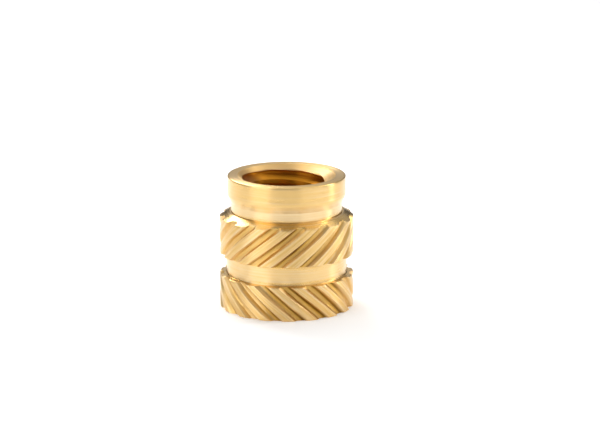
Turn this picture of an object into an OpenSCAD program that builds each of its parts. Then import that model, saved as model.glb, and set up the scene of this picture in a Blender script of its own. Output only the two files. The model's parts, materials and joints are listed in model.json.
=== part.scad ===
// Knurled threaded insert for plastic housings.
// A turned blank with a smooth lip, a neck and two raised bands. Each band carries helical knurl
// grooves, and the two bands lean opposite ways, so that the insert can neither turn nor pull out.
// The tapped hole is a plain bore at the thread's minor diameter. Millimetres, +Z up, foot at z = 0.

/* [Overall] */
// Length of the insert from the foot to the rim
length = 6; // [5.5:0.1:12]
// Diameter over the crests of both knurl bands
knurl_d = 6; // [5.8:0.05:6.6]

/* [Thread] */
// Nominal diameter of the metric thread
thread_d = 4; // [3:0.1:4.2]
// Pitch of the metric thread
thread_pitch = 0.7; // [0.35:0.05:0.8]
// Diameter of the countersink where it opens in the rim and in the foot
countersink_d = 4.4; // [4.2:0.05:4.7]
// Full cone angle of both countersinks
countersink_angle = 120; // [60:5:130]

/* [Lip and neck] */
// Diameter of the smooth lip that enters the hole first
lip_d = 5.3; // [5:0.05:5.8]
// Height of the lip's straight wall
lip_h = 0.85; // [0.4:0.05:1.5]
// Height of the taper under the lip
taper_h = 0.36; // [0.1:0.02:0.6]
// Diameter of the neck between the lip and the upper band
neck_d = 4.98; // [4.8:0.02:5.2]
// Height of the neck's straight wall
neck_h = 0.41; // [0.2:0.01:0.9]

/* [Upper band] */
// Height of the upper band's crests
upper_h = 1.7; // [1:0.05:2]
// Height of the conical shoulder on the upper band
shoulder_h = 0.24; // [0.1:0.01:0.6]
// Width of the flat ring between the shoulder's cone and the neck
shoulder_flat = 0.08; // [0.02:0.01:0.2]
// Number of knurl grooves in the upper band
upper_grooves = 16; // [10:1:20]
// Angle between the upper grooves and the axis, rising to the right
upper_helix = 52; // [20:1:60]
// Turn of the upper grooves from the front, at mid height
upper_turn = 13; // [0:0.5:22]

/* [Lower band] */
// Height of the lower band
lower_h = 1.55; // [1:0.05:2]
// Number of knurl grooves in the lower band
lower_grooves = 17; // [10:1:20]
// Angle between the lower grooves and the axis, rising to the left
lower_helix = 50; // [20:1:60]
// Turn of the lower grooves from the front, at mid height
lower_turn = 16.5; // [0:0.5:22]

/* [Knurl section] */
// Depth of a knurl groove below the crests
knurl_depth = 0.18; // [0.1:0.02:0.3]
// Width of a knurl groove at the crests, round the body
knurl_mouth = 0.62; // [0.4:0.02:0.7]
// Width of a knurl groove at its floor, round the body
knurl_floor = 0.34; // [0.1:0.02:0.4]
// Diameter of the plain waist between the two bands
waist_d = 5.4; // [5:0.05:5.5]
// Chamfer on the outer edges of the lip and the bands
edge_break = 0.05; // [0.02:0.01:0.1]

/* [Hidden] */

brass = [0.85, 0.68, 0.42];
round_fn = 96;              // smoothness of every round wall
cut = 0.1;                  // how far a cutter reaches past what it cuts
slices_per_turn = 90;       // steps of a helical groove in one full turn

// Minor diameter of the internal thread: the sharp triangle's height times 5/4 off the nominal size.
bore_d = thread_d - 1.25 * thread_pitch * sqrt(3) / 2;
countersink_h = (countersink_d - bore_d) / 2 / tan(countersink_angle / 2);

// Heights from the foot up. The waist takes what the other stages leave of the length.
waist_h = length - lower_h - upper_h - shoulder_h - neck_h - taper_h - lip_h;
upper_z = lower_h + waist_h;
shoulder_z = upper_z + upper_h;
neck_z = shoulder_z + shoulder_h;
taper_z = neck_z + neck_h;
lip_z = taper_z + taper_h;

// Half outline of the turned blank, from the foot's middle up the outside to the rim's middle.
function blank_outline(r = knurl_d / 2, e = edge_break) = [
    [0, 0],
    [r - e, 0],
    [r, e],
    [r, lower_h - e],
    [r - e, lower_h],
    [waist_d / 2, lower_h],
    [waist_d / 2, upper_z],
    [r - e, upper_z],
    [r, upper_z + e],
    [r, shoulder_z],
    [neck_d / 2 + shoulder_flat, neck_z],
    [neck_d / 2, neck_z],
    [neck_d / 2, taper_z],
    [lip_d / 2, lip_z],
    [lip_d / 2, length - e],
    [lip_d / 2 - e, length],
    [0, length]
];

// Turned blank before knurling and drilling.
module blank() {
    rotate_extrude($fn = round_fn) polygon(blank_outline());
}

// Cross section of one knurl groove, its floor toward the axis and its walls drawn on past the crest.
module groove_section() {
    crest_r = knurl_d / 2;
    floor_r = crest_r - knurl_depth;
    outer_r = crest_r + cut;
    wall_slope = (knurl_mouth - knurl_floor) / 2 / knurl_depth;
    outer_w = knurl_mouth + 2 * wall_slope * cut;
    polygon([
        [floor_r, -knurl_floor / 2],
        [outer_r, -outer_w / 2],
        [outer_r, outer_w / 2],
        [floor_r, knurl_floor / 2]
    ]);
}

// Cutters for one band: grooves that wind round the axis from height z0 to z1. A positive helix angle
// rises to the right as seen from outside. The first groove stands at angle turn from the front (-Y)
// where it passes height z_mid.
module knurl_grooves(count, helix, turn, z0, z1, z_mid) {
    degrees_per_mm = tan(helix) / (knurl_d / 2) * 180 / PI;
    wind = degrees_per_mm * (z1 - z0);
    start = -90 + turn - degrees_per_mm * (z_mid - z0);
    for (i = [0 : count - 1])
        rotate([0, 0, start + i * 360 / count])
            translate([0, 0, z0])
                linear_extrude(height = z1 - z0, twist = -wind,
                               slices = ceil(abs(wind) / 360 * slices_per_turn))
                    groove_section();
}

// Drilled hole at the thread's minor diameter, countersunk at both ends.
module tapped_hole() {
    flare = cut * tan(countersink_angle / 2);
    translate([0, 0, -cut])
        cylinder(h = length + 2 * cut, d = bore_d, $fn = round_fn);
    translate([0, 0, -cut])
        cylinder(h = countersink_h + cut, d1 = countersink_d + 2 * flare, d2 = bore_d, $fn = round_fn);
    translate([0, 0, length - countersink_h])
        cylinder(h = countersink_h + cut, d1 = bore_d, d2 = countersink_d + 2 * flare, $fn = round_fn);
}

module insert() {
    color(brass)
        difference() {
            blank();
            knurl_grooves(lower_grooves, -lower_helix, lower_turn,
                          -cut, lower_h + cut, lower_h / 2);
            knurl_grooves(upper_grooves, upper_helix, upper_turn,
                          upper_z - cut, neck_z + cut, upper_z + upper_h / 2);
            tapped_hole();
        }
}

insert();
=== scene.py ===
"""Knurled threaded insert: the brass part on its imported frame, with its studio and its camera."""

import json
import math
from types import SimpleNamespace
from typing import NamedTuple

import bpy
from bpy.props import FloatProperty, FloatVectorProperty, IntProperty, PointerProperty
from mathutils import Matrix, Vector


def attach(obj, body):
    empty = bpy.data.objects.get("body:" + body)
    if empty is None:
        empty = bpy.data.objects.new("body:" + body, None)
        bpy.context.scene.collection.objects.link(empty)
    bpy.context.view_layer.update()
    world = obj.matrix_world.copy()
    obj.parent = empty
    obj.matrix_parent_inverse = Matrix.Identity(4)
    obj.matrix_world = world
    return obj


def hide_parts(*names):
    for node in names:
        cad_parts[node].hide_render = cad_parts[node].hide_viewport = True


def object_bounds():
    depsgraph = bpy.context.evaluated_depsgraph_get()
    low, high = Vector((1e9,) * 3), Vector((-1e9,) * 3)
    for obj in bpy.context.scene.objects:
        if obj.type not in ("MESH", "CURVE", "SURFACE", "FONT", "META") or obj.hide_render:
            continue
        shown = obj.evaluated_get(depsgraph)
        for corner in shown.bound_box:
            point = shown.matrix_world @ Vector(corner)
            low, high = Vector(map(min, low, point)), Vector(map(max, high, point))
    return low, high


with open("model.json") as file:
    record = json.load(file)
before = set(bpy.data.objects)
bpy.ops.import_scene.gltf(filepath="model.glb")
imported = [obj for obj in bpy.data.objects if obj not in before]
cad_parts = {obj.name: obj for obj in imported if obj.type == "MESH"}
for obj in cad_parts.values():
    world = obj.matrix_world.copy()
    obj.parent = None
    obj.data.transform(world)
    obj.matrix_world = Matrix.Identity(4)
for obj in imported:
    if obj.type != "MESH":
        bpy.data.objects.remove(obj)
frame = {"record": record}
CAD_LOW, CAD_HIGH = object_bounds()
MOUNTS = {mount["name"]: mount for mount in frame["record"]["mounts"]}

bl_info = {
    "name": "Knurled Threaded Insert",
    "version": (1, 0, 0),
    "blender": (4, 5, 0),
    "location": "View3D > Sidebar > Insert",
    "description": "Builds a knurled and tapped brass insert with its studio and camera",
    "category": "Object",
}

MM = 0.001
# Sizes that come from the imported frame.
LENGTH = CAD_HIGH.z - CAD_LOW.z
KNURL_D = CAD_HIGH.x - CAD_LOW.x
LIP_D = 2 * MOUNTS["pilot"]["dims"]["r_mm"] * MM
BORE_D = 2 * MOUNTS["thread"]["dims"]["r_mm"] * MM
# Turn of the insert's front, from the x axis.
FRONT = -math.pi / 2


# ---------------------------------------------------------------- settings


def size(label, description, default):
    """A length setting in metres."""
    return FloatProperty(name=label, description=description, default=default, min=0.0,
                         unit="LENGTH", precision=5)


def angle(label, description, degrees):
    """An angle setting, given in degrees and kept in radians."""
    return FloatProperty(name=label, description=description, default=math.radians(degrees),
                         subtype="ANGLE")


def colour(label, description, rgb):
    """A colour setting."""
    return FloatVectorProperty(name=label, description=description, default=rgb, size=3,
                               min=0.0, max=1.0, subtype="COLOR")


def groove_count(label, description, count):
    """The number of grooves in a knurled band."""
    return IntProperty(name=label, description=description, default=count, min=8)


class InsertSizes(bpy.types.PropertyGroup):
    """Sizes of the turned, knurled and tapped body."""

    length: size("Length", "From the foot to the rim", LENGTH)
    knurl_d: size("Knurl Diameter", "Over the crests of both bands", KNURL_D)
    knurl_depth: size("Groove Depth", "Of a knurl groove below the crests", 0.18 * MM)
    knurl_mouth: size("Groove Mouth", "Width of a groove at the crests, round the body", 0.62 * MM)
    knurl_floor: size("Groove Floor", "Width of a groove at its floor, round the body", 0.34 * MM)
    crest_round: size("Crest Rounding", "How far a groove's upper corners are rounded", 0.05 * MM)
    floor_round: size("Floor Rounding", "How far a groove's lower corners are rounded", 0.08 * MM)
    wall_sway: size("Wall Sway", "How far a groove's walls wander to either side", 0.03 * MM)

    lower_h: size("Lower Band Height", "From the foot to the waist", 1.55 * MM)
    lower_grooves: groove_count("Lower Grooves", "Number in the lower band", 17)
    lower_helix: angle("Lower Helix", "From the axis, rising to the left", 50)
    lower_turn: angle("Lower Turn", "Of the lower grooves from the front at mid height", 16.5)

    upper_h: size("Upper Band Height", "Of the upper band's crests", 1.7 * MM)
    shoulder_h: size("Shoulder Height", "Of the cone on the upper band", 0.24 * MM)
    shoulder_flat: size("Shoulder Flat", "Width of the flat between cone and neck", 0.08 * MM)
    upper_grooves: groove_count("Upper Grooves", "Number in the upper band", 16)
    upper_helix: angle("Upper Helix", "From the axis, rising to the right", 52)
    upper_turn: angle("Upper Turn", "Of the upper grooves from the front at mid height", 13)

    waist_d: size("Waist Diameter", "Of the plain stretch between the bands", 5.4 * MM)
    neck_d: size("Neck Diameter", "Of the plain stretch over the shoulder", 4.98 * MM)
    neck_h: size("Neck Height", "Of the neck's straight wall", 0.41 * MM)
    taper_h: size("Taper Height", "Of the flare from the neck to the lip", 0.36 * MM)
    lip_d: size("Lip Diameter", "Of the smooth lip", LIP_D)
    lip_h: size("Lip Height", "Of the lip's straight wall", 0.85 * MM)
    edge_round: size("Edge Rounding", "Radius on the turned outer edges", 0.05 * MM)

    thread_pitch: size("Thread Pitch", "Of the metric thread", 0.7 * MM)
    bore_d: size("Minor Diameter", "Of the thread's crests", BORE_D)
    thread_turn: angle("Thread Turn", "From the front to where a groove meets the rim's height", 0)
    countersink_d: size("Countersink Diameter", "Where it opens in the rim and foot", 4.4 * MM)
    countersink_angle: angle("Countersink Angle", "Full cone angle", 120)


class InsertColours(bpy.types.PropertyGroup):
    """Colours of the brass and of the studio."""

    brass: colour("Brass", "Clean turned brass", (0.86, 0.57, 0.21))
    # Its painted highlights lie below the lip and on the lands' edges.
    brass_pale: colour("Pale Brass", "Brighter streaks and worn edges", (0.97, 0.76, 0.46))
    # Deeper metal in the grooves; there and on the ledges it also carries painted shade.
    brass_deep: colour("Deep Brass", "Metal in the knurl's grooves", (0.62, 0.33, 0.03))
    # Darker partly as duller metal and partly as painted shade inside the bore.
    brass_thread: colour("Thread Brass", "Duller metal of the tapped thread", (0.54, 0.22, 0.015))
    # Painted shade along the corners of the grooves.
    corner_shade: colour("Grime", "Dirt along the corners of the grooves", (0.16, 0.062, 0.003))
    floor: colour("Floor", "Studio floor", (0.97, 0.97, 0.97))
    room: colour("Room", "Unlit upper walls of the studio", (0.46, 0.46, 0.46))
    room_low: colour("Low Room", "Unlit walls of the studio near the floor", (0.07, 0.07, 0.07))


# ---------------------------------------------------------------- nodes and objects

# Numbers of a Mix node's two colour inputs and of its colour output.
MIX_FIRST, MIX_SECOND, MIX_RESULT = 6, 7, 2


class Field:
    """A socket or number in a node tree, so that a rule can be written as plain arithmetic."""

    def __init__(self, tree, source):
        self.tree = tree
        self.source = source

    def calc(self, operation, *others):
        """Adds one Math node whose inputs are this value and the others."""
        node = self.tree.nodes.new("ShaderNodeMath")
        node.operation = operation
        for socket, value in zip(node.inputs, (self, *others)):
            put(self.tree, socket, value)
        return Field(self.tree, node.outputs[0])

    def __add__(self, other):
        return self.calc("ADD", other)

    def __sub__(self, other):
        return self.calc("SUBTRACT", other)

    def __rsub__(self, other):
        return Field(self.tree, other) - self

    def __mul__(self, other):
        return self.calc("MULTIPLY", other)

    def __truediv__(self, other):
        return self.calc("DIVIDE", other)

    def __abs__(self):
        return self.calc("ABSOLUTE")

    def at_least(self, limit):
        """This value, or the limit where that is greater."""
        return self.calc("MAXIMUM", limit)

    def at_most(self, limit):
        """This value, or the limit where that is less."""
        return self.calc("MINIMUM", limit)

    def between(self, low, high):
        """The low value where this is 0, and the high one where it is 1."""
        return self * (high - low) + low


def put(tree, socket, value):
    """Links a socket or a Field to an input, or sets the input to a plain value."""
    if isinstance(value, Field):
        value = value.source
    if isinstance(value, bpy.types.NodeSocket):
        tree.links.new(value, socket)
    else:
        socket.default_value = value


def add_node(tree, kind, inputs=None, **settings):
    """Adds a node with its settings, and links or sets the inputs that are named or numbered."""
    node = tree.nodes.new(kind)
    for name, value in settings.items():
        setattr(node, name, value)
    for key, value in (inputs or {}).items():
        put(tree, node.inputs[key], value)
    return node


def add_field(tree, kind, inputs=None, output=0, **settings):
    """Adds a node as add_node does, and gives the output that is named or numbered."""
    return Field(tree, add_node(tree, kind, inputs, **settings).outputs[output])


def add_sockets(tree, in_out, kind, *names):
    """Adds inputs or outputs of one kind to a node tree."""
    for name in names:
        tree.interface.new_socket(name, in_out=in_out, socket_type=f"NodeSocket{kind}")


def tree_inputs(tree):
    """The node tree's inputs by name."""
    sockets = tree.nodes.new("NodeGroupInput").outputs
    return {socket.name: Field(tree, socket) for socket in sockets}


def joined(tree, x=0.0, y=0.0, z=0.0):
    """The vector of three values."""
    return add_field(tree, "ShaderNodeCombineXYZ", {"X": x, "Y": y, "Z": z})


def split(tree, vector):
    """The three values of a vector."""
    outputs = add_node(tree, "ShaderNodeSeparateXYZ", {0: vector}).outputs
    return [Field(tree, outputs[name]) for name in "XYZ"]


def ramp(tree, value, low, high, **settings):
    """Runs from 0 to 1 as the value runs from low to high."""
    return add_field(tree, "ShaderNodeMapRange",
                     {"Value": value, "From Min": low, "From Max": high}, "Result", **settings)


def mix_colours(tree, share, first, second):
    """Goes from the first colour to the second as the share goes from 0 to 1."""
    return add_field(tree, "ShaderNodeMix",
                     {"Factor": share, MIX_FIRST: first, MIX_SECOND: second}, MIX_RESULT,
                     data_type="RGBA")


def new_material(name):
    """A new material and its node tree, which holds a Principled shader."""
    material = bpy.data.materials.new(name)
    material.use_nodes = True
    return material, material.node_tree


def set_shader(tree, values):
    """Links or sets the named inputs of a material's Principled shader."""
    shader = tree.nodes["Principled BSDF"]
    for name, value in values.items():
        put(tree, shader.inputs[name], value)


def link_object(name, data):
    """A new object in the scene."""
    obj = bpy.data.objects.new(name, data)
    bpy.context.scene.collection.objects.link(obj)
    return obj


# ---------------------------------------------------------------- the insert's outline

# Which rule shapes a point of the outline.
PLAIN, LOWER_BAND, UPPER_BAND, THREAD_END, TAPPED = range(5)

# The longest straight step along the outline: on plain walls, on the knurled bands and on the
# shoulder's cone.
PLAIN_STEP = 0.14 * MM
BAND_STEP = 0.08 * MM
SHOULDER_STEP = 0.035 * MM
# Share of a step by which a stretch may be longer, so that rounding adds no step.
STEP_SLACK = 1e-6
# Segments of a rounded corner.
CORNER_STEPS = 3

# Rings of points along one pitch of the thread. The corners of a metric thread's outline lie at
# sixteenths of the pitch.
ROWS_PER_PITCH = 16
# Depth of a metric thread, as a share of its sharp triangle's height.
THREAD_DEPTH = 0.625
# How much wider than the thread a countersink is where the thread begins.
THREAD_CLEARANCE = 0.03 * MM


class Point(NamedTuple):
    """A point of the outline: its radius, its height and its rule."""

    r: float
    z: float
    rule: int


def rounded_outline(corners):
    """Points along a path of corners (r, z, rounding, rule), each corner rounded."""
    points = []
    for index, (r, z, rounding, rule) in enumerate(corners):
        here = Vector((r, z))
        if rounding == 0 or index in (0, len(corners) - 1):
            points.append(Point(r, z, rule))
            continue
        into = (Vector(corners[index - 1][:2]) - here).normalized()
        out = (Vector(corners[index + 1][:2]) - here).normalized()
        half = into.angle(out) / 2
        middle = here + (into + out).normalized() * rounding / math.sin(half)
        first = here + into * rounding / math.tan(half) - middle
        sweep = first.angle_signed(here + out * rounding / math.tan(half) - middle)
        for step in range(CORNER_STEPS + 1):
            turn = -sweep * step / CORNER_STEPS
            point = middle + Vector((
                first.x * math.cos(turn) - first.y * math.sin(turn),
                first.x * math.sin(turn) + first.y * math.cos(turn),
            ))
            points.append(Point(point.x, point.y, rule))
    return points


def outline_step(start, end):
    """The longest step between two outline points: short on the knurled bands and shortest on the
    shoulder's cone."""
    if start.rule != end.rule or start.rule not in (LOWER_BAND, UPPER_BAND):
        return PLAIN_STEP
    on_cone = start.rule == UPPER_BAND and start.r != end.r and start.z != end.z
    return SHOULDER_STEP if on_cone else BAND_STEP


def run_between(start, end):
    """The straight way from one outline point to another."""
    return math.dist((start.r, start.z), (end.r, end.z))


def subdivided(points):
    """Adds points on straight stretches, no further apart than the step there. Between two rules
    they are plain."""
    result = [points[0]]
    for start, end in zip(points, points[1:]):
        count = math.ceil(run_between(start, end) / outline_step(start, end) - STEP_SLACK)
        rule = end.rule if start.rule == end.rule else PLAIN
        for i in range(1, count):
            share = i / count
            result.append(Point(start.r + (end.r - start.r) * share,
                                start.z + (end.z - start.z) * share, rule))
        result.append(end)
    return result


class Stages:
    """Heights of the insert's stages from the foot up, worked out from its sizes."""

    def __init__(self, sizes):
        self.foot_z = CAD_LOW.z
        self.rim_z = self.foot_z + sizes.length
        self.lip_z = self.rim_z - sizes.lip_h
        self.taper_z = self.lip_z - sizes.taper_h
        self.neck_z = self.taper_z - sizes.neck_h
        self.shoulder_z = self.neck_z - sizes.shoulder_h
        self.upper_z = self.shoulder_z - sizes.upper_h
        self.lower_top_z = self.foot_z + sizes.lower_h
        # The thread's radius in its grooves, and the two heights that it runs between, where the
        # countersinks are a little wider than it.
        self.major_r = sizes.bore_d / 2 + THREAD_DEPTH * thread_triangle(sizes)
        self.clear_r = self.major_r + THREAD_CLEARANCE
        clear_depth = (sizes.countersink_d / 2 - self.clear_r) / countersink_slope(sizes)
        self.thread_low_z = self.foot_z + clear_depth
        self.thread_high_z = self.rim_z - clear_depth


def thread_triangle(sizes):
    """Height of the thread's sharp triangle."""
    return sizes.thread_pitch * math.sqrt(3) / 2


def countersink_slope(sizes):
    """Radius that a countersink loses for each unit of depth."""
    return math.tan(sizes.countersink_angle / 2)


def insert_outline(sizes):
    """The closed outline, from the foot's countersink up the outside and down the bore."""
    at = Stages(sizes)
    mouth_r = sizes.countersink_d / 2
    crest_r = sizes.knurl_d / 2
    waist_r = sizes.waist_d / 2
    neck_r = sizes.neck_d / 2
    lip_r = sizes.lip_d / 2
    edge = sizes.edge_round
    # Each corner: r, z, its rounding and its rule.
    corners = [
        (at.clear_r, at.thread_low_z, 0, THREAD_END),
        (mouth_r, at.foot_z, edge / 2, PLAIN),
        (crest_r, at.foot_z, edge, LOWER_BAND),
        (crest_r, at.lower_top_z, edge, LOWER_BAND),
        (waist_r, at.lower_top_z, edge / 2, LOWER_BAND),
        (waist_r, at.upper_z, edge / 2, UPPER_BAND),
        (crest_r, at.upper_z, edge, UPPER_BAND),
        (crest_r, at.shoulder_z, edge / 2, UPPER_BAND),
        (neck_r + sizes.shoulder_flat, at.neck_z, edge / 2, UPPER_BAND),
        (neck_r, at.neck_z, 0, UPPER_BAND),
        (neck_r, at.taper_z, 2 * edge, PLAIN),
        (lip_r, at.lip_z, 2 * edge, PLAIN),
        (lip_r, at.rim_z, edge, PLAIN),
        (mouth_r, at.rim_z, edge / 2, PLAIN),
        (at.clear_r, at.thread_high_z, 0, THREAD_END),
    ]
    points = subdivided(rounded_outline(corners))
    # The bore's rows climb as they go round, so they start up to two pitches under its foot. What
    # would stand past the thread's ends is drawn in to them.
    step = sizes.thread_pitch / ROWS_PER_PITCH
    depth = at.thread_high_z - at.thread_low_z + 2 * sizes.thread_pitch
    rows = math.ceil(depth / step)
    return points + [
        Point(at.clear_r, at.thread_high_z - i * step, TAPPED) for i in range(rows + 1)
    ]


def band_winds(sizes):
    """For each knurled band: its groove count, radians of wind for each metre up, and a groove's
    angle at height zero."""
    at = Stages(sizes)
    crest_r = sizes.knurl_d / 2
    lower_rate = -math.tan(sizes.lower_helix) / crest_r
    upper_rate = math.tan(sizes.upper_helix) / crest_r
    lower_mid = (at.foot_z + at.lower_top_z) / 2
    upper_mid = (at.upper_z + at.shoulder_z) / 2
    return {
        LOWER_BAND: (sizes.lower_grooves, lower_rate,
                     FRONT + sizes.lower_turn - lower_rate * lower_mid),
        UPPER_BAND: (sizes.upper_grooves, upper_rate,
                     FRONT + sizes.upper_turn - upper_rate * upper_mid),
    }


def foot_wind(sizes):
    """The turn of a lower groove at the foot, which the bore keeps."""
    _, rate, start = band_winds(sizes)[LOWER_BAND]
    return start + rate * Stages(sizes).foot_z


def thread_start(sizes):
    """Share of a pitch by which the thread is raised, so that at its turn a groove meets the rim's
    height."""
    at = Stages(sizes)
    turns = (FRONT + sizes.thread_turn - foot_wind(sizes)) / math.tau
    return ((at.rim_z - at.thread_high_z) / sizes.thread_pitch - turns) % 1


def outline_winds(points, sizes):
    """Each outline point's turn. It is a groove's angle in the bands and the foot's in the bore.
    Plain stretches turn evenly from one to the next."""
    winds = band_winds(sizes)
    known = {}
    for index, point in enumerate(points):
        if point.rule in winds:
            _, rate, start = winds[point.rule]
            known[index] = start + rate * point.z
        elif point.rule != PLAIN:
            known[index] = foot_wind(sizes)
    places = [0.0]
    for start, end in zip(points, points[1:]):
        places.append(places[-1] + run_between(start, end))
    turns = []
    for index in range(len(points)):
        before = max(i for i in known if i <= index)
        after = min(i for i in known if i >= index)
        run = places[after] - places[before]
        share = (places[index] - places[before]) / run if run else 0
        turns.append(known[before] + (known[after] - known[before]) * share)
    return turns


def outline_object(sizes):
    """An edge-only object holding the outline, with each point's wind, groove count and tap mark.
    The count is negative where the grooves rise to the left."""
    points = insert_outline(sizes)
    winds = band_winds(sizes)
    counts = []
    for point in points:
        count, rate, _ = winds.get(point.rule, (0, 0, 0))
        counts.append(math.copysign(count, rate))
    mesh = bpy.data.meshes.new("insert")
    mesh.from_pydata([(point.r, 0, point.z) for point in points],
                     [(i, i + 1) for i in range(len(points) - 1)], [])
    for name, values in (
        ("wind", outline_winds(points, sizes)),
        ("grooves", counts),
        ("tapped", [float(point.rule == TAPPED) for point in points]),
    ):
        mesh.attributes.new(name, "FLOAT", "POINT").data.foreach_set("value", values)
    return link_object("insert_body", mesh)


# ---------------------------------------------------------------- the insert's node tree

# The grid that becomes the insert has one column of points for each of these steps round the axis.
# It is a multiple of both bands' groove counts, so that every groove gets the same columns.
COLUMNS = 272
# Share of a column by which an index may fall short of it, because of rounding.
COLUMN_SLACK = 1e-4
# How strongly the columns crowd toward the walls of the grooves, from 0 to 1.
CROWDING = 0.6
# Length over which a groove's wall wanders, how much the height counts toward it, and the factor
# that brings the noise to about 1 either side.
SWAY_RUN = 0.3 * MM
SWAY_UPWARD = 0.4
SWAY_GAIN = 4
SWAY_SEED = 3.0
# The thread's flanks stand at 60 degrees to each other: radius for each unit of height.
FLANK = math.sqrt(3)
# Rounding of the thread's corners, and the depth over which it fades into a countersink.
THREAD_ROUND = 0.02 * MM
THREAD_FADE = 0.1 * MM
# Points closer than this become one, which closes the grid's seams.
WELD = 0.001 * MM
# Edges folded by more than this stay crisp.
CRISP_FOLD = math.radians(38)

# The node tree's inputs, apart from the outline and the material.
TREE_NUMBERS = (
    "Crest Radius", "Groove Depth", "Groove Mouth", "Groove Floor", "Crest Rounding",
    "Floor Rounding", "Wall Sway", "Seed", "Thread Top", "Thread Bottom", "Thread Pitch",
    "Thread Start", "Minor Radius", "Major Radius", "Foot Height", "Rim Height",
    "Countersink Radius", "Countersink Slope",
)


def sample_outline(tree, outline, row, name=None):
    """Reads the outline's position, or the named attribute, at each grid point's row."""
    if name is None:
        kind = "FLOAT_VECTOR"
        value = add_field(tree, "GeometryNodeInputPosition")
    else:
        kind = "FLOAT"
        value = add_field(tree, "GeometryNodeInputNamedAttribute", {"Name": name}, data_type=kind)
    return add_field(tree, "GeometryNodeSampleIndex",
                     {"Geometry": outline, "Value": value, "Index": row},
                     data_type=kind, domain="POINT")


def knurl_rule(tree, given, r, z, wind, grooves, knurled, fraction):
    """Angle and radius of a knurled point, how near it is to a corner of the groove's floor and to
    a land's edge, and how far it lies toward the groove's upper wall. The columns crowd at the
    groove's walls and wander a little, as a rolled knurl does."""
    count = abs(grooves).at_least(1.0)
    along = fraction * count
    offset = along - along.calc("ROUND")
    crest_r = given["Crest Radius"]
    period = crest_r * math.tau / count
    # A quarter of the way round each period, the columns are closest and lie on the walls.
    wall_at = (given["Groove Mouth"] + given["Groove Floor"]) / 4 / period
    warped = (offset
              + (offset * (2 * math.tau)).calc("SINE") * (CROWDING / (2 * math.tau))
              - (offset * math.tau).calc("SINE") * (0.25 - wall_at))
    spin = fraction * math.tau
    on_crest = joined(tree, crest_r * spin.calc("COSINE"), crest_r * spin.calc("SINE"),
                      z * SWAY_UPWARD)
    noise = add_field(tree, "ShaderNodeTexNoise", {
        "Vector": on_crest, "W": given["Seed"], "Scale": 1 / SWAY_RUN, "Detail": 1.0,
    }, "Fac", noise_dimensions="4D")
    sway = (noise - 0.5) * given["Wall Sway"] * SWAY_GAIN / crest_r
    turned = wind + spin + ((warped - offset) * math.tau / count + sway) * knurled

    across = abs(warped) * period
    half_floor = given["Groove Floor"] / 2
    half_mouth = given["Groove Mouth"] / 2
    wall = half_mouth - half_floor
    rise = ((across - half_floor) * (given["Groove Depth"] / wall)).calc(
        "SMOOTH_MAX", 0.0, given["Floor Rounding"])
    floor_r = rise + crest_r - given["Groove Depth"]
    cut_r = r.calc("SMOOTH_MIN", floor_r, given["Crest Rounding"])
    corner, edge = (
        (1 - abs(across - line) / wall).at_least(0.0) for line in (half_floor, half_mouth)
    )
    upper = warped * grooves.calc("SIGN") * period / half_floor * -0.5 + 0.5
    return (turned, cut_r * knurled + r * (1 - knurled), corner * knurled, edge * knurled,
            upper.at_least(0.0).at_most(1.0))


def thread_rule(given, z, fraction):
    """Height and radius of a tapped point, and how far it belongs to the thread rather than to a
    countersink, from 0 to 1. Each row climbs one pitch in a turn."""
    pitch = given["Thread Pitch"]
    climb = (fraction + given["Thread Start"]) * pitch
    height = (z + climb).at_most(given["Thread Top"]).at_least(given["Thread Bottom"])
    phase = (given["Thread Top"] - z) / pitch
    away = abs(phase - phase.calc("ROUND")) * pitch
    # The groove's flat is an eighth of the pitch wide, and its flanks would meet outside it.
    apex_r = pitch / 16 * FLANK + given["Major Radius"]
    groove_r = (apex_r - away * FLANK).calc("SMOOTH_MIN", given["Major Radius"], THREAD_ROUND)
    thread_r = groove_r.calc("SMOOTH_MAX", given["Minor Radius"], THREAD_ROUND)
    from_end = (height - given["Foot Height"]).at_most(given["Rim Height"] - height)
    cone_r = from_end * -1 * given["Countersink Slope"] + given["Countersink Radius"]
    inside = ((thread_r - cone_r) / THREAD_FADE).at_least(0.0).at_most(1.0)
    return height, thread_r.calc("SMOOTH_MAX", cone_r, THREAD_ROUND), inside


def shaped_grid(tree, given):
    """The grid, its points moved onto the knurled and tapped body, and the marks of each point.
    Sunk is 1 on a groove's floor, corner in the floor's corners, edge on a land's edges, upper
    toward a groove's upper wall, threaded on the thread, knurled on both bands, and ledge on what
    lies below a band's crests but isn't a groove. Wind is the turn of the outline."""
    rows = add_field(tree, "GeometryNodeAttributeDomainSize", {"Geometry": given["Outline"]},
                     "Point Count", component="MESH")
    grid = add_field(tree, "GeometryNodeMeshGrid", {"Vertices X": COLUMNS + 1, "Vertices Y": rows},
                     "Mesh")
    index = add_field(tree, "GeometryNodeInputIndex")
    column = (index / rows + COLUMN_SLACK).calc("FLOOR")
    row = index - column * rows
    fraction = column / COLUMNS

    r, _, z = split(tree, sample_outline(tree, given["Outline"], row))
    wind, grooves, tapped = (
        sample_outline(tree, given["Outline"], row, name) for name in ("wind", "grooves", "tapped")
    )
    knurled = abs(grooves).calc("GREATER_THAN", 0.5)
    turned, knurl_r, corner, edge, upper = knurl_rule(
        tree, given, r, z, wind, grooves, knurled, fraction)
    height, tapped_r, inside = thread_rule(given, z, fraction)
    plain = 1 - tapped
    final_r = knurl_r * plain + tapped_r * tapped
    position = joined(tree, final_r * turned.calc("COSINE"), final_r * turned.calc("SINE"),
                      z * plain + height * tapped)
    placed = add_field(tree, "GeometryNodeSetPosition", {"Geometry": grid, "Position": position})
    return placed, {
        "sunk": (r - knurl_r) / given["Groove Depth"],
        "corner": corner,
        "edge": edge,
        "upper": upper,
        "threaded": tapped * inside,
        "knurled": knurled,
        "ledge": ((given["Crest Radius"] - r) / given["Groove Depth"]).at_most(1.0) * knurled,
        "wind": wind,
    }


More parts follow.
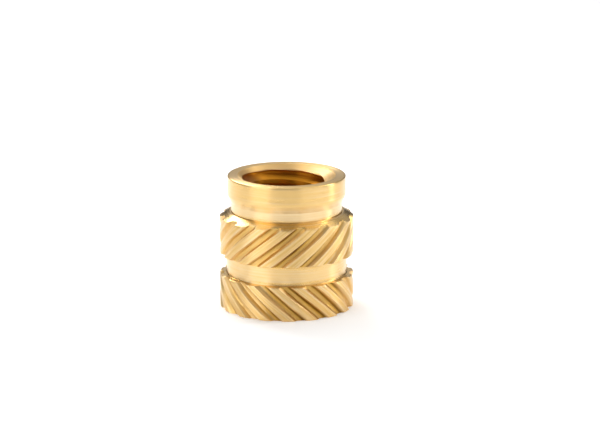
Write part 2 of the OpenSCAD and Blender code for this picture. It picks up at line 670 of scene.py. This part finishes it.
def insert_tree():
    """Node tree that turns the outline into the closed body, with its marks, crisp edges and
    material."""
    tree = bpy.data.node_groups.new("knurled_insert", "GeometryNodeTree")
    add_sockets(tree, "INPUT", "Geometry", "Outline")
    add_sockets(tree, "INPUT", "Float", *TREE_NUMBERS)
    add_sockets(tree, "INPUT", "Material", "Material")
    add_sockets(tree, "OUTPUT", "Geometry", "Insert")
    given = tree_inputs(tree)

    body, marks = shaped_grid(tree, given)
    for name, value in marks.items():
        body = add_field(tree, "GeometryNodeStoreNamedAttribute",
                         {"Geometry": body, "Name": name, "Value": value},
                         data_type="FLOAT", domain="POINT")
    body = add_field(tree, "GeometryNodeMergeByDistance", {"Geometry": body, "Distance": WELD})
    body = add_field(tree, "GeometryNodeSetShadeSmooth", {"Geometry": body, "Shade Smooth": True},
                     domain="FACE")
    fold = add_field(tree, "GeometryNodeInputMeshEdgeAngle", output="Unsigned Angle")
    body = add_field(tree, "GeometryNodeSetShadeSmooth", {
        "Geometry": body,
        "Selection": fold.calc("GREATER_THAN", CRISP_FOLD),
        "Shade Smooth": False,
    }, domain="EDGE")
    body = add_field(tree, "GeometryNodeRealizeInstances", {"Geometry": body})
    body = add_field(tree, "GeometryNodeSetMaterial",
                     {"Geometry": body, "Material": given["Material"]})
    add_node(tree, "NodeGroupOutput", {"Insert": body})
    return tree


def tree_values(sizes, material):
    """The values of the node tree's inputs, by name."""
    at = Stages(sizes)
    return {
        "Crest Radius": sizes.knurl_d / 2,
        "Groove Depth": sizes.knurl_depth,
        "Groove Mouth": sizes.knurl_mouth,
        "Groove Floor": sizes.knurl_floor,
        "Crest Rounding": sizes.crest_round,
        "Floor Rounding": sizes.floor_round,
        "Wall Sway": sizes.wall_sway,
        "Seed": SWAY_SEED,
        "Thread Top": at.thread_high_z,
        "Thread Bottom": at.thread_low_z,
        "Thread Pitch": sizes.thread_pitch,
        "Thread Start": thread_start(sizes),
        "Minor Radius": sizes.bore_d / 2,
        "Major Radius": at.major_r,
        "Foot Height": at.foot_z,
        "Rim Height": at.rim_z,
        "Countersink Radius": sizes.countersink_d / 2,
        "Countersink Slope": countersink_slope(sizes),
        "Material": material,
    }


def plain_mesh(piece, tree, values):
    """Runs the node tree on a piece with these input values, and keeps only the resulting mesh."""
    modifier = piece.modifiers.new("build", "NODES")
    modifier.node_group = tree
    sockets = {item.name: item.identifier
               for item in tree.interface.items_tree if item.in_out == "INPUT"}
    for name, value in values.items():
        modifier[sockets[name]] = value
    depsgraph = bpy.context.evaluated_depsgraph_get()
    mesh = bpy.data.meshes.new_from_object(piece.evaluated_get(depsgraph), depsgraph=depsgraph)
    piece.modifiers.remove(modifier)
    piece.data = mesh


# ---------------------------------------------------------------- brass

# Fine streaks: their spacing, and how long they run. Rings lie on the turned walls, and scores on
# the knurled bands.
RING_SPACING, RING_RUN = 0.09 * MM, 3.0 * MM
SCORE_SPACING, SCORE_RUN = 0.12 * MM, 1.4 * MM
# The noise lies between these for the most part, and they become 0 and 1.
STREAK_RANGE = (0.3, 0.7)
# Size of the cloudy patches.
MOTTLE = 1.1 * MM

# Which side of the grooves gets painted shade: round from the front to the right at the foot, the
# turn of that side for each metre up, and how the painted shade lessens with height. It comes in
# over this range of a measure that is 1 at the foot where the wall faces that side.
SHADED_SIDE = math.radians(21.4)
SHADED_SIDE_TURN = math.radians(-4.3) / MM
SHADED_SIDE_FADE = 0.054 / MM
SHADED_SIDE_RANGE = (0.656, 0.80)

# Painted highlight: how much paler the plain walls are below the lip, first under the shoulder
# and then over it, and the height over which this comes in.
BELOW_LIP = (0.2, 0.5)
BELOW_LIP_RUN = 0.3 * MM
# Height of the faced rim, which is bare of polish.
FACED_HEIGHT = 0.03 * MM

# How light a streak is where it starts to look pale, the strength of the pale streaks and that of
# their bump: first on a turned wall, then on a knurled band.
PALE_FROM = (0.35, 0.45)
PALE_CONTRAST = (0.5, 1.1)
BUMP_CONTRAST = (1.0, 3.0)
# Strength of the pale patches.
MOTTLE_CONTRAST = 0.5
# Strength of the deep colour and of the painted corner shade: first in a groove on the lit side,
# then in one on the side with painted shade.
DEEP_STRENGTH = (0.3, 0.85)
CORNER_SHADE_STRENGTH = (0.1, 1.05)
# Share of the deep colour at a groove's lower wall, and of the painted corner shade in its lower
# corner. At the upper wall both are whole, as painted shade under its overhang.
LOWER_WALL = 0.4
LOWER_CORNER = 0.25
# Share of the deep colour on the ledges at a band's ends, where it is painted shade.
LEDGE_DEEP = 0.4
# How wide the painted corner shade spreads from its corner, and how it thins from patch to patch.
CORNER_SHADE_SPREAD = 1.6
CORNER_SHADE_PATCHES = (-0.1, 1.5)
# How dark a streak is where a score starts to show, and the strength of the scores.
SCORE_FROM = 0.45
SCORE_STRENGTH = 0.8
# Strength of the painted highlight on a land's edges.
EDGE_HIGHLIGHT_STRENGTH = 0.4

ROUGHNESS = 0.31
STREAK_ROUGHNESS = 0.1
# What each kind of surface adds to the roughness of a turned wall.
ROUGHER = {"threaded": 0.1, "countersunk": 0.3, "knurled": 0.06, "ledge": -0.12}
# The polish on the turned walls, its roughness, and how much of it each kind of surface lacks.
POLISH = 0.4
POLISH_ROUGHNESS = 0.22
UNPOLISHED = {"sunk": 1.0, "ledge": 0.5, "threaded": 1.0, "knurled": 0.5, "faced": 1.0}
# Highlights are drawn out along the axis, across the turning rings.
BRUSHED = 0.85
QUARTER_TURN = 0.25
# Depth of the streaks, and how far a ledge lessens it.
STREAK_DEPTH = 0.003 * MM
LEDGE_SMOOTHING = 2.5


def streaks_group():
    """Node group: soft streaks, close together across them and long along them."""
    tree = bpy.data.node_groups.new("streaks", "ShaderNodeTree")
    add_sockets(tree, "INPUT", "Vector", "Across", "Along")
    add_sockets(tree, "INPUT", "Float", "Spacing", "Run")
    add_sockets(tree, "OUTPUT", "Float", "Streaks")
    given = tree_inputs(tree)
    across_x, across_y, _ = split(tree, given["Across"])
    along_x, along_y, _ = split(tree, given["Along"])
    spacing, run = given["Spacing"], given["Run"]
    noise = add_field(tree, "ShaderNodeTexNoise", {
        "Vector": joined(tree, across_x / spacing, across_y / spacing, along_x / run),
        "W": along_y / run, "Scale": 1.0, "Detail": 2.0,
    }, "Fac", noise_dimensions="4D")
    add_node(tree, "NodeGroupOutput", {"Streaks": ramp(tree, noise, *STREAK_RANGE)})
    return tree


def placed_streaks(tree, streaks, across, along, spacing, run):
    """The streaks' node group in a material, with its own directions and sizes."""
    return add_field(tree, "ShaderNodeGroup",
                     {"Across": across, "Along": along, "Spacing": spacing, "Run": run},
                     node_tree=streaks)


def brass_surface(tree, streaks, sizes):
    """What the brass depends on at each point: its place, its stored marks, its streaks, its
    patches and the side of it where the grooves get painted shade."""
    place = add_field(tree, "ShaderNodeTexCoord", output="Object")
    on = SimpleNamespace(**{
        name: add_field(tree, "ShaderNodeAttribute", output="Fac", attribute_name=name)
        for name in ("sunk", "corner", "edge", "upper", "ledge", "threaded", "knurled", "wind")
    })
    on.x, on.y, on.z = split(tree, place)
    radius = (on.x * on.x + on.y * on.y).calc("SQRT")
    in_mouth = radius.calc("LESS_THAN", sizes.countersink_d / 2)
    on.countersunk = in_mouth * (1 - on.threaded)
    on.faced = on.z.calc("GREATER_THAN", Stages(sizes).rim_z - FACED_HEIGHT)

    # Rings change up a wall and out across a flat face, and scores run along the grooves.
    rings = placed_streaks(tree, streaks, joined(tree, radius, on.z), joined(tree, on.x, on.y),
                           RING_SPACING, RING_RUN)
    unwound = add_field(tree, "ShaderNodeVectorRotate", {"Vector": place, "Angle": on.wind * -1},
                        rotation_type="Z_AXIS")
    scores = placed_streaks(tree, streaks, unwound, joined(tree, on.z), SCORE_SPACING, SCORE_RUN)
    on.streaks = add_field(tree, "ShaderNodeMix",
                           {"Factor": on.knurled - on.ledge, "A": rings, "B": scores})
    on.mottle = add_field(tree, "ShaderNodeTexNoise",
                          {"Vector": place, "Scale": 1 / MOTTLE, "Detail": 5.0}, "Fac")

    # Painted shade in the grooves that face round to the right of the front, less of it higher up.
    side = on.z * SHADED_SIDE_TURN + SHADED_SIDE
    facing = (on.x * side.calc("SINE") - on.y * side.calc("COSINE")) / radius
    on.dirty = ramp(tree, facing - on.z * SHADED_SIDE_FADE, *SHADED_SIDE_RANGE)
    return on


def brass_tone(tree, on, colours, sizes):
    """The brass's colour: pale in streaks and patches, with painted highlights below the lip and on
    the lands' edges; deep where it is sunk or scored, with painted shade toward the grooves' upper
    walls, in their corners, on one side and on the ledges; darker in the thread, partly as painted
    shade.
    """
    at = Stages(sizes)
    # Below the lip the plain walls are paler: a painted highlight.
    below_lip = ramp(tree, on.z, at.lip_z, at.lip_z - BELOW_LIP_RUN)
    over_shoulder = on.z.calc("GREATER_THAN", at.neck_z)
    pale = ((on.streaks - on.knurled.between(*PALE_FROM)) * on.knurled.between(*PALE_CONTRAST)
            + (on.mottle - 0.5) * MOTTLE_CONTRAST
            + (1 - on.knurled) * below_lip * over_shoulder.between(*BELOW_LIP))
    # Deeper metal in the grooves, with painted shade: fuller toward the upper wall, on the shaded
    # side and on the ledges.
    deep = ((on.sunk * on.upper.between(LOWER_WALL, 1.0) + on.ledge * LEDGE_DEEP).at_most(1.0)
            * on.dirty.between(*DEEP_STRENGTH))
    scored = (SCORE_FROM - on.streaks) * (on.knurled - on.ledge) * SCORE_STRENGTH
    # Painted highlight along the lands' edges.
    highlit = on.edge * (1 - (on.sunk + on.ledge).at_most(1.0)) * EDGE_HIGHLIGHT_STRENGTH
    # Painted shade along the grooves' corners, mostly the upper one, thinner in patches and on the
    # lit side.
    corner_shade = ((on.corner * on.upper.at_least(LOWER_CORNER) * CORNER_SHADE_SPREAD).at_most(1.0)
             * on.sunk * on.dirty.between(*CORNER_SHADE_STRENGTH) * on.mottle.between(*CORNER_SHADE_PATCHES))
    # The thread's colour is darker, partly as painted shade inside the bore.
    tone = (*colours.brass, 1)
    for amount, next_colour in (
        (pale, colours.brass_pale),
        (deep, colours.brass_deep),
        (scored, colours.brass_deep),
        (highlit, colours.brass_pale),
        (corner_shade, colours.corner_shade),
        (on.threaded, colours.brass_thread),
    ):
        tone = mix_colours(tree, amount, tone, (*next_colour, 1))
    return tone


def weighed(on, shares):
    """The sum of a surface's named masks, each times its share."""
    first, *others = (getattr(on, name) * share for name, share in shares.items())
    return sum(others, first)


def brass_material(streaks, colours, sizes):
    """Bright turned brass, streaked by the tool and deeper in colour where it is sunk."""
    material, tree = new_material("turned_brass")
    on = brass_surface(tree, streaks, sizes)
    bump = add_field(tree, "ShaderNodeBump", {
        "Strength": 1.0, "Distance": STREAK_DEPTH,
        "Height": on.streaks * (on.knurled.between(*BUMP_CONTRAST) - on.ledge * LEDGE_SMOOTHING),
    })
    set_shader(tree, {
        "Metallic": 1.0,
        "Anisotropic": BRUSHED,
        "Anisotropic Rotation": QUARTER_TURN,
        "Tangent": joined(tree, on.y * -1, on.x),
        "Base Color": brass_tone(tree, on, colours, sizes),
        "Roughness": (on.streaks - 0.5) * STREAK_ROUGHNESS + ROUGHNESS + weighed(on, ROUGHER),
        "Coat Weight": (1 - weighed(on, UNPOLISHED).at_most(1.0)) * POLISH,
        "Coat Roughness": POLISH_ROUGHNESS,
        "Normal": bump,
    })
    return material


# ---------------------------------------------------------------- studio

# Half the floor's side.
FLOOR_HALF = 0.4
# How much of its own light the floor shows, where 1 is white.
FLOOR_GLOW = 0.16
# The room's walls turn from dark to light between these heights, in degrees up.
ROOM_RISE = (8, 24)

# Each softbox: name, degrees round from the front to the right, degrees up, the degrees that its
# width and height fill, and its brightness, where 1 is white.
SOFTBOXES = (
    ("left_soft", -52, 26, 40, 48, 1.65),
    ("back_left_key", -151, 41, 30, 28, 6.0),
    ("back_low", 180, 15, 16, 14, 0.35),
    ("right_soft", 52, 24, 50, 44, 0.72),
    ("right_strip", 97, 26, 11, 50, 5.0),
    ("top_soft", 180, 66, 56, 40, 1.0),
)
SOFTBOX_DISTANCE = 0.09

# The camera's lens in millimetres, its degrees up, its distance and the nearest that it sees.
CAMERA_LENS = 168
CAMERA_ELEVATION = 14
CAMERA_DISTANCE = 0.126
CAMERA_CLIP = 0.005
# How far it is moved to the right and up, without turning, to place the insert in its view.
CAMERA_RIGHT = 0.0006
CAMERA_UP = 0.0011


def stand_back(name, data, azimuth, elevation, distance):
    """Makes a lamp or camera that looks at the insert's centre. The angles are degrees round from
    the front to the right and degrees up. Gives the object and the way out to it."""
    obj = link_object(name, data)
    turn, rise = math.radians(azimuth), math.radians(elevation)
    out = Vector((
        math.sin(turn) * math.cos(rise),
        -math.cos(turn) * math.cos(rise),
        math.sin(rise),
    ))
    obj.location = (CAD_LOW + CAD_HIGH) / 2 + out * distance
    obj.rotation_mode = "QUATERNION"
    obj.rotation_quaternion = out.to_track_quat("Z", "Y")
    return obj, out


def make_floor(colours):
    """A wide pale floor under the insert."""
    mesh = bpy.data.meshes.new("floor")
    corners = [(-1, -1), (1, -1), (1, 1), (-1, 1)]
    mesh.from_pydata([(x * FLOOR_HALF, y * FLOOR_HALF, CAD_LOW.z) for x, y in corners], [],
                     [(0, 1, 2, 3)])
    material, tree = new_material("floor_white")
    ray = tree.nodes.new("ShaderNodeLightPath").outputs
    seen = Field(tree, ray["Is Camera Ray"]).at_least(ray["Is Glossy Ray"])
    seen = seen.at_least(ray["Is Transmission Ray"])
    set_shader(tree, {
        "Base Color": (*colours.floor, 1),
        "Roughness": 0.9,
        "Specular IOR Level": 0.0,
        "Emission Color": (*colours.floor, 1),
        "Emission Strength": seen * FLOOR_GLOW,
    })
    mesh.materials.append(material)
    return link_object("floor", mesh)


def make_softbox(name, azimuth, elevation, wide, tall, brightness):
    """A soft rectangular lamp that faces the insert."""
    lamp = bpy.data.lights.new(name, "AREA")
    lamp.shape = "RECTANGLE"
    lamp.size = 2 * SOFTBOX_DISTANCE * math.tan(math.radians(wide / 2))
    lamp.size_y = 2 * SOFTBOX_DISTANCE * math.tan(math.radians(tall / 2))
    lamp.energy = brightness * math.pi * lamp.size * lamp.size_y
    stand_back(name, lamp, azimuth, elevation, SOFTBOX_DISTANCE)


def make_room(scene, colours):
    """Plain grey surroundings, darker toward the floor."""
    world = bpy.data.worlds.new("studio")
    world.use_nodes = True
    tree = world.node_tree
    _, _, up = split(tree, add_field(tree, "ShaderNodeTexCoord", output="Generated"))
    low, high = (math.sin(math.radians(degrees)) for degrees in ROOM_RISE)
    height = ramp(tree, up, low, high, interpolation_type="SMOOTHSTEP")
    wall = mix_colours(tree, height, (*colours.room_low, 1), (*colours.room, 1))
    put(tree, tree.nodes["Background"].inputs["Color"], wall)
    scene.world = world


def make_camera():
    """A long lens that looks slightly down on the insert."""
    data = bpy.data.cameras.new("camera")
    data.lens = CAMERA_LENS
    data.clip_start = CAMERA_CLIP
    camera, back = stand_back("camera", data, 0, CAMERA_ELEVATION, CAMERA_DISTANCE)
    right = Vector((1, 0, 0))
    up = back.cross(right)
    camera.location = camera.location + right * CAMERA_RIGHT + up * CAMERA_UP
    return camera


# ---------------------------------------------------------------- operators


class INSERT_OT_body(bpy.types.Operator):
    """Make the knurled and tapped brass body"""

    bl_idname = "threaded_insert.body"
    bl_label = "Insert Body"

    def execute(self, context):
        sizes = context.scene.insert_sizes
        material = brass_material(streaks_group(), context.scene.insert_colours, sizes)
        piece = outline_object(sizes)
        plain_mesh(piece, insert_tree(), tree_values(sizes, material))
        if not piece.data.polygons:
            raise RuntimeError("the insert's node tree gave no faces")
        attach(piece, "root")
        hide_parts("insert")
        return {"FINISHED"}


class INSERT_OT_studio(bpy.types.Operator):
    """Make the floor, the soft lamps, the room and the camera"""

    bl_idname = "threaded_insert.studio"
    bl_label = "Studio and Camera"

    def execute(self, context):
        scene = context.scene
        scene.view_settings.view_transform = "Standard"
        colours = scene.insert_colours
        make_floor(colours)
        for softbox in SOFTBOXES:
            make_softbox(*softbox)
        make_room(scene, colours)
        scene.camera = make_camera()
        return {"FINISHED"}


class INSERT_PT_panel(bpy.types.Panel):
    """Lists the insert's building steps and sizes"""

    bl_label = "Threaded Insert"
    bl_space_type = "VIEW_3D"
    bl_region_type = "UI"
    bl_category = "Insert"

    def draw(self, context):
        layout = self.layout
        for operator in OPERATORS:
            layout.operator(operator.bl_idname)
        for settings in (context.scene.insert_sizes, context.scene.insert_colours):
            box = layout.box()
            for name in settings.__annotations__:
                box.prop(settings, name)


OPERATORS = (INSERT_OT_body, INSERT_OT_studio)
CLASSES = (InsertSizes, InsertColours, *OPERATORS, INSERT_PT_panel)


def register():
    """Adds the settings, the operators and the panel."""
    for cls in CLASSES:
        bpy.utils.register_class(cls)
    bpy.types.Scene.insert_sizes = PointerProperty(type=InsertSizes)
    bpy.types.Scene.insert_colours = PointerProperty(type=InsertColours)


def unregister():
    """Removes what register adds."""
    del bpy.types.Scene.insert_colours
    del bpy.types.Scene.insert_sizes
    for cls in reversed(CLASSES):
        bpy.utils.unregister_class(cls)


def main():
    register()
    bpy.ops.threaded_insert.body()
    bpy.ops.threaded_insert.studio()


if __name__ == "__main__":
    main()
